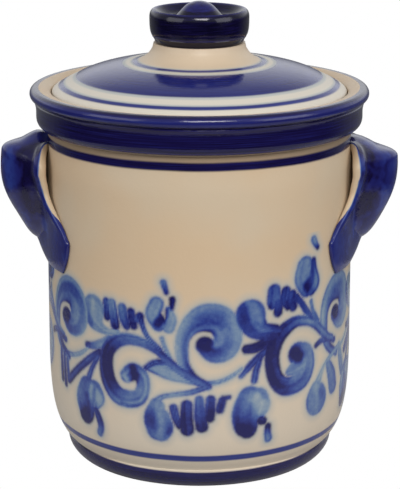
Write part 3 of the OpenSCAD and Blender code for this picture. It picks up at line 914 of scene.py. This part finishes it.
def salt_clay(g, position, pale=0.0):
    """Pale buff salt-glazed clay in drifting warm and cool patches, greyer where pale is 1, with fine specks."""
    drift = g.noise(position, 0.014, 2.0, 0.5)
    base = g.mix(g.step(drift, 0.35, 0.65), CLAY_COOL, CLAY_WARM)
    base = g.mix(pale, base, CLAY_PALE)
    cells = g.add("ShaderNodeTexVoronoi", {"Vector": position, "Scale": 0.28}, feature="F1")
    chance = g.add("ShaderNodeSeparateColor", {"Color": cells.outputs["Color"]}).outputs[0]
    speck = g.math("MULTIPLY", g.step(cells.outputs["Distance"], 0.05, 0.02), g.step(chance, 0.7, 0.95))
    return g.mix(g.math("MULTIPLY", speck, 0.4), base, rgb(126, 102, 80))


def peel(g, position):
    """Height of the salt glaze's orange-peel skin."""
    coarse = g.noise(position, 0.32, 2.0, 0.5)
    fine = g.noise(position, 1.1, 1.0, 0.5)
    return g.math("MULTIPLY_ADD", coarse, 0.7, g.math("MULTIPLY", fine, 0.3))


def finish_glaze(g, colour, height, strength, rough):
    bump = g.add("ShaderNodeBump", {"Height": height, "Strength": strength, "Distance": 0.0006})
    shader = g.add("ShaderNodeBsdfPrincipled", {
        "Base Color": colour,
        "Roughness": rough,
        "IOR": 1.45,
        "Normal": bump.outputs["Normal"],
    })
    g.add("ShaderNodeOutputMaterial", {"Surface": shader.outputs[0]})
    return g.material


def gloss(g, position, blue):
    """Roughness: the glaze is glassier where it lies over cobalt."""
    patchy = g.math("MULTIPLY_ADD", g.noise(position, 0.2, 2.0, 0.5), 0.12, 0.38)
    return g.math("MULTIPLY_ADD", blue, -0.3, patchy)


def cobalt(g, depth):
    """Cobalt under the glaze, from a grey wash to almost black."""
    return g.ramp(depth, COBALT_STOPS)


def pot_material():
    g = Graph("salt_glaze_painted")
    position, radius, turn, z = g.place()
    clay = salt_clay(g, position, g.math("MULTIPLY", g.step(z, 150.0, 20.0), 0.6))
    paint = g.add("ShaderNodeAttribute", attribute_name="paint", attribute_type="GEOMETRY")
    parts = g.add("ShaderNodeSeparateColor", {"Color": paint.outputs["Color"]})
    edge, depth = parts.outputs[0], g.math("MULTIPLY", parts.outputs[1], 0.82)
    ragged = g.math("MULTIPLY_ADD", g.noise(position, 0.5, 2.0, 0.6), 0.8, -0.4)
    edge = g.math("ADD", edge, ragged)
    inside = g.step(edge, 1.8, -0.7)
    halo = g.math("MULTIPLY", g.step(edge, 3.0, 0.6), 0.4)
    grain = g.math("MULTIPLY_ADD", g.noise(position, 0.35, 3.0, 0.6), 0.26, -0.13)
    depth = g.math("MINIMUM", g.math("ADD", depth, grain), 0.84)
    # Painted shadow: the neck strip under the collar's overhang is darkened.
    neck = g.math("MULTIPLY", g.between(z, 205.5, 211.3, 0.8), 0.75)
    colour = g.mix(g.math("MULTIPLY", neck, g.step(radius, 92.5, 93.0)), clay, NECK_PAINTED_SHADOW)
    colour = g.mix(g.math("MULTIPLY", g.step(edge, 6.5, 1.5), 0.6), colour, WASH)
    colour = g.mix(halo, colour, BLEED)
    colour = g.mix(inside, colour, cobalt(g, depth))

    # Bands pulled with the brush while the pot turned on the wheel
    round_axis = g.join(g.math("SINE", turn), g.math("COSINE", turn), g.math("MULTIPLY", z, 0.0))
    sway = g.math("MULTIPLY_ADD", g.noise(round_axis, 1.6, 2.0, 0.5), 1.0, -0.5)
    level = g.math("ADD", z, sway)
    pulled = g.noise(g.join(g.math("SINE", turn), g.math("COSINE", turn), g.math("MULTIPLY", z, 0.9)), 2.5, 3.0, 0.6)
    tilt = g.math("MINIMUM", g.math("MULTIPLY_ADD", g.math("COSINE", turn), 4.0, 4.0), 2.3)
    low_level = g.math("SUBTRACT", level, tilt)
    low_line = g.between(low_level, 20.6, 24.8, 0.7)
    high_line = g.between(level, 201.0, 206.2, 0.8)
    foot_band = g.step(low_level, 12.5, 11.5)
    collar_band = g.step(z, 211.0, 211.7)
    outside = g.math("MULTIPLY", g.step(radius, 73.0, 74.0), g.math("SUBTRACT", 1.0, g.math(
        "MULTIPLY", g.step(radius, 92.5, 91.9), g.step(z, 100.0, 101.0))))
    every = g.math("ADD", g.math("ADD", low_line, high_line), g.math("ADD", foot_band, collar_band), clamp=True)
    bands = g.math("MULTIPLY", every, outside)
    seat = g.math("MULTIPLY", g.step(z, 225.0, 226.0), g.step(g.math("ADD", radius, sway), 99.6, 98.8))
    bands = g.math("MULTIPLY", bands, g.math("SUBTRACT", 1.0, seat))
    band_depth = g.math("MULTIPLY_ADD", pulled, 0.35, 0.58)
    band_depth = g.math("ADD", band_depth, g.math("MULTIPLY", g.step(z, 100.0, 101.0), 0.14))
    band_depth = g.math("ADD", band_depth, g.math("MULTIPLY_ADD", foot_band, 0.12, g.math("MULTIPLY", low_line, -0.08)))
    # Lighter blue along the collar's lower edge and the lip's outer roll: the glaze thinning over the edges, and partly
    # a painted highlight.
    thin = g.math("ADD", g.between(level, 211.2, 212.6, 0.6), g.step(radius, 103.2, 104.6))
    band_depth = g.math("SUBTRACT", band_depth, g.math("MULTIPLY", thin, 0.12))
    colour = g.mix(bands, colour, cobalt(g, band_depth))
    colour = g.mix(g.step(z, 0.6, 0.2), colour, CLAY_BARE)
    blue = g.math("MAXIMUM", bands, inside)
    return finish_glaze(g, colour, peel(g, position), 0.25, gloss(g, position, blue))


def lid_material():
    g = Graph("salt_glaze_banded")
    position, radius, turn, z = g.place()
    # The dome is paler and greyer than the waist: partly the lid's own cooler clay, and partly a painted sheen on the
    # dome's top, which faces the light from above.
    clay = salt_clay(g, position, g.math("MULTIPLY_ADD", g.step(radius, 34.0, 44.0), 0.75, 0.2))
    circle = g.join(g.math("SINE", turn), g.math("COSINE", turn), g.math("MULTIPLY", radius, 0.02))
    sway = g.math("MULTIPLY_ADD", g.noise(circle, 1.4, 2.0, 0.5), 0.9, -0.45)
    level = g.math("ADD", radius, sway)
    pulled = g.noise(g.join(g.math("SINE", turn), g.math("COSINE", turn), g.math("MULTIPLY", radius, 0.9)), 2.2, 3.0, 0.6)
    top = g.step(z, 236.0, 237.0)
    broad = g.between(level, 47.5, 76.0, 0.9)
    depth = g.math("MULTIPLY_ADD", pulled, 0.35, 0.6)
    bleed = g.math("ADD", g.between(level, 45.5, 78.0, 0.9), g.between(level, 82.5, 87.8, 0.7))
    bleed = g.math("ADD", bleed, g.between(level, 37.2, 42.6, 0.7))
    colour = g.mix(g.math("MULTIPLY", g.math("MULTIPLY", bleed, top), 0.6), clay, BLEED)
    colour = g.mix(g.math("MULTIPLY", broad, top), colour, cobalt(g, depth))
    thin = g.math("ADD", g.between(level, 83.8, 86.8, 0.8), g.between(level, 38.3, 41.4, 0.8))
    outer = g.step(z, 233.5, 234.2)
    thin_depth = g.math("MULTIPLY_ADD", pulled, 0.35, 0.55)
    colour = g.mix(g.math("MULTIPLY", thin, outer), colour, cobalt(g, thin_depth))
    blue = g.math("MAXIMUM", g.math("MULTIPLY", broad, top), g.math("MULTIPLY", thin, outer))
    return finish_glaze(g, colour, peel(g, position), 0.15, gloss(g, position, blue))


def knob_material():
    g = Graph("cobalt_glaze_knob")
    position, radius, turn, z = g.place()
    pulled = g.noise(g.join(g.math("SINE", turn), g.math("COSINE", turn), g.math("MULTIPLY", z, 0.7)), 2.2, 3.0, 0.6)
    depth = g.math("MULTIPLY_ADD", pulled, 0.3, 0.82)
    depth = g.math("ADD", depth, g.math("MULTIPLY", g.step(z, 266.2, 265.2), 0.12))
    # Lighter blue at the groove and round the top crest: the glaze thinning over the edges, and partly a painted
    # highlight.
    thin = g.math("ADD", g.between(z, 266.2, 267.2, 0.4), g.step(z, 281.4, 282.4))
    depth = g.math("SUBTRACT", depth, g.math("MULTIPLY", thin, 0.14))
    colour = cobalt(g, depth)
    return finish_glaze(g, colour, peel(g, position), 0.15, gloss(g, position, 1.0))


def handle_material():
    g = Graph("cobalt_glaze_handle")
    position, radius, turn, z = g.place()
    clay = salt_clay(g, position)
    paint = g.add("ShaderNodeAttribute", attribute_name="paint", attribute_type="GEOMETRY")
    parts = g.add("ShaderNodeSeparateColor", {"Color": paint.outputs["Color"]})
    over, along = parts.outputs[1], parts.outputs[2]
    across = g.math("ABSOLUTE", g.math("MULTIPLY", paint.outputs["Alpha"], 2.0))
    flow = g.noise(position, 0.05, 3.0, 0.55)
    depth = g.math("MULTIPLY_ADD", flow, 0.5, 0.54)
    # Painted dark reflection: the cobalt is deepened in the channel beside the strap's front edge, on its upper part.
    channel_dark_reflection = g.math("MULTIPLY", g.between(across, 0.42, 0.85, 0.12), g.step(along, 0.7, 0.5))
    depth = g.math("ADD", depth, g.math("MULTIPLY", channel_dark_reflection, 0.16))
    worn = g.step(g.noise(position, 0.05, 3.0, 0.6), 0.48, 0.7)
    depth = g.math("SUBTRACT", depth, g.math("MULTIPLY", worn, 0.26))
    # Lighter blue over the strap's front corner: the glaze thinning over the edge, and partly a painted highlight along
    # the corner.
    thin = g.math("MULTIPLY", g.between(over, 0.09, 0.24, 0.06), g.step(along, 0.66, 0.5))
    depth = g.math("SUBTRACT", depth, g.math("MULTIPLY", thin, 0.4))
    ragged = g.math("MULTIPLY_ADD", g.noise(position, 0.15, 2.0, 0.5), 0.2, -0.1)
    reach = g.math("MULTIPLY_ADD", g.step(along, 0.52, 0.68), -1.04, -0.2)
    blue = g.step(g.math("ADD", g.math("ADD", over, ragged), reach), 0.06, -0.06)
    colour = g.mix(blue, clay, cobalt(g, depth))
    return finish_glaze(g, colour, peel(g, position), 0.25, gloss(g, position, blue))


# Stage: a pale floor that is plain white to the camera, and soft lights
FLOOR_R = 0.42
ROOM_LOW = 0.02
ROOM_HIGH = 0.36
BACKDROP = 0.75
BACKDROP_LOW = 0.15


def white_to_camera(g, shader):
    path = g.add("ShaderNodeLightPath")
    white = g.add("ShaderNodeEmission", {"Color": (1, 1, 1, 1), "Strength": 1.0})
    mixed = g.add("ShaderNodeMixShader")
    g.feed(mixed.inputs[0], path.outputs["Is Camera Ray"])
    g.feed(mixed.inputs[1], shader)
    g.feed(mixed.inputs[2], white.outputs[0])
    return mixed.outputs[0]


def add_floor():
    turn = 2 * math.pi * np.arange(96) / 96
    verts = [(FLOOR_R * math.cos(t), FLOOR_R * math.sin(t), 0) for t in turn]
    floor = mesh_object("floor", verts, [list(range(96))])
    g = Graph("floor_white")
    matte = g.add("ShaderNodeBsdfDiffuse", {"Color": (0.55, 0.54, 0.53, 1)})
    g.add("ShaderNodeOutputMaterial", {"Surface": white_to_camera(g, matte.outputs[0])})
    floor.data.materials.append(g.material)


def set_world():
    """A soft room, brightest behind the pot and dark low in front of it, that is plain white to the camera."""
    world = bpy.data.worlds.new("studio")
    bpy.context.scene.world = world
    world.use_nodes = True
    g = Graph.__new__(Graph)
    g.tree = world.node_tree
    g.tree.nodes.clear()
    direction = g.add("ShaderNodeTexCoord").outputs["Generated"]
    y, z = g.add("ShaderNodeSeparateXYZ", {"Vector": direction}).outputs[1:]
    behind = g.step(y, 0.1, 0.7)
    above = g.step(z, -0.05, 0.2)
    backdrop = g.math("MULTIPLY", behind, g.step(z, 0.75, 0.25))
    high = g.math("MULTIPLY", above, g.math("MULTIPLY_ADD", backdrop, BACKDROP - BACKDROP_LOW, ROOM_HIGH))
    low = g.math("MULTIPLY_ADD", behind, BACKDROP_LOW, ROOM_LOW)
    room = g.add("ShaderNodeBackground", {"Color": (0.95, 0.97, 1.0, 1), "Strength": g.math("ADD", high, low)})
    white = g.add("ShaderNodeBackground", {"Color": (1, 1, 1, 1), "Strength": 1.0})
    mixed = g.add("ShaderNodeMixShader")
    g.feed(mixed.inputs[0], g.add("ShaderNodeLightPath").outputs["Is Camera Ray"])
    g.feed(mixed.inputs[1], room.outputs[0])
    g.feed(mixed.inputs[2], white.outputs[0])
    g.add("ShaderNodeOutputWorld", {"Surface": mixed.outputs[0]})


def add_light(name, place, target, size, power, colour=(1, 1, 1)):
    data = bpy.data.lights.new(name, "AREA")
    data.shape = "RECTANGLE"
    data.size, data.size_y = size
    data.energy = power
    data.color = colour
    light = bpy.data.objects.new(name, data)
    light.location = place
    direction = np.array(target, float) - np.array(place, float)
    flat = math.hypot(direction[0], direction[1])
    light.rotation_euler = (math.pi / 2 + math.atan2(direction[2], flat), 0,
                            math.atan2(direction[1], direction[0]) - math.pi / 2)
    bpy.context.scene.collection.objects.link(light)


def add_lights():
    middle = (0, 0, 0.15)
    add_light("key", (0.14, -1.4, 1.15), middle, (0.8, 0.5), 17, (1, 0.975, 0.94))
    add_light("fill_left", (-1.5, -0.9, 0.75), middle, (1.3, 1.1), 8)
    add_light("fill_right", (1.5, -0.9, 0.75), middle, (1.3, 1.1), 10)


def main():
    add_camera()
    bpy.context.scene.view_settings.view_transform = "Standard"
    set_world()
    add_floor()
    add_lights()
    pot = make_pot()
    pot.data.materials.append(pot_material())
    lid = turned("lid_dome", lid_outline(), 256)
    lid.data.materials.append(lid_material())
    knob = turned("knob_turned", knob_outline(), 160)
    knob.data.materials.append(knob_material())
    handle_glaze = handle_material()
    handles = [make_handle("strap_left", -1, 4.4, 1.8), make_handle("strap_right", 1, 0.0, 1.0)]
    for handle in handles:
        handle.data.materials.append(handle_glaze)
    for piece, node, body, slot in (
        (pot, "pot_body", "pot", "salt_glaze"),
        (handles[0], "handle_left", "pot", "cobalt_glaze"),
        (handles[1], "handle_right", "pot", "cobalt_glaze"),
        (lid, "lid", "lid_assembly", "salt_glaze"),
        (knob, "lid_knob", "lid_assembly", "cobalt_glaze"),
    ):
        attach(piece, body)
        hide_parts(node)


main()
